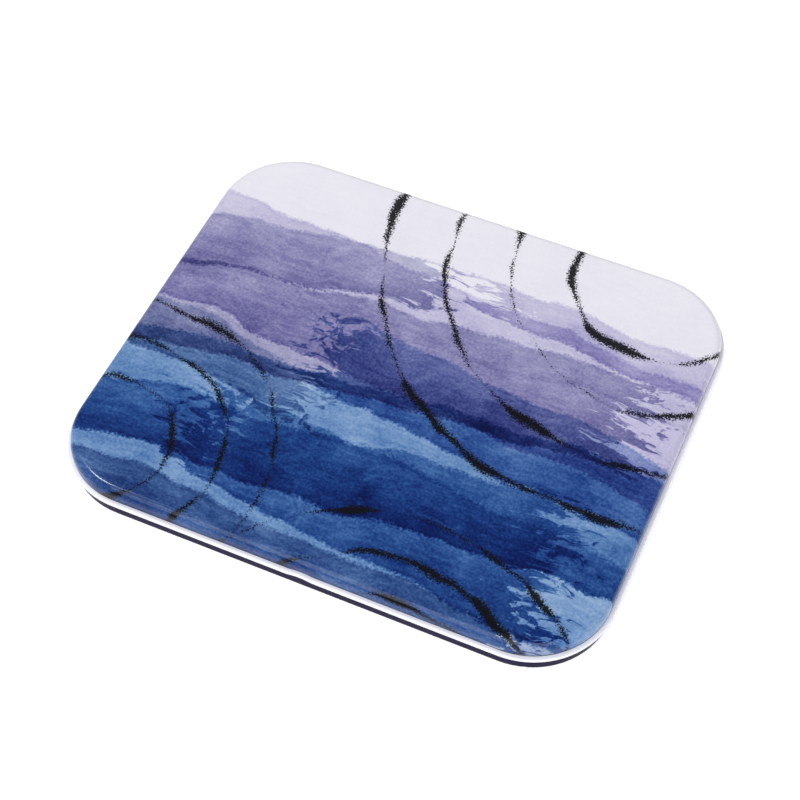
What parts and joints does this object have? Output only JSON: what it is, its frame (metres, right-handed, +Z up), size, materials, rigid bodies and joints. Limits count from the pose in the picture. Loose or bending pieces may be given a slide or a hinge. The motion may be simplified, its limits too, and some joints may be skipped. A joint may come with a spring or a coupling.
{
  "type": "wet palette",
  "caption": "Flat rounded tin with a hinged printed lid, over a white water tray that holds a sponge and a permeable sheet and keeps mixed paint workable.",
  "frame": {"origin": "on the ground, under the middle of the tin's outline", "axes": "+X along the long side, to the right seen from the front; -Y towards the front and its thumb notch, +Y towards the hinges; +Z up"},
  "size_m": [0.2028, 0.1724, 0.0136],
  "materials": {
    "base_lacquer": "gloss dark lacquer on tinplate",
    "pin_steel": "drawn wire",
    "tray_plastic": "satin moulding",
    "sponge_cellulose": "porous cellulose",
    "palette_sheet": "matt permeable sheet",
    "lid_print": "printed tinplate under gloss varnish",
    "liner_plastic": "fine matt moulding",
    "gasket_silicone": "milky silicone"
  },
  "bodies": {
    "base": {"base_shell": "base_lacquer", "hinge_pin_left": "pin_steel", "hinge_pin_right": "pin_steel", "water_tray": "tray_plastic", "sponge": "sponge_cellulose", "palette_paper": "palette_sheet"},
    "lid": {"lid_shell": "lid_print", "lid_liner": "liner_plastic", "lid_gasket": "gasket_silicone"}
  },
  "joints": [
    {"name": "lid_hinge", "type": "hinge", "parent": "base", "child": "lid", "pos_m": [0, 0.08535, 0.00775], "axis": [-1, 0, 0], "range_deg": [0, 180]}
  ]
}
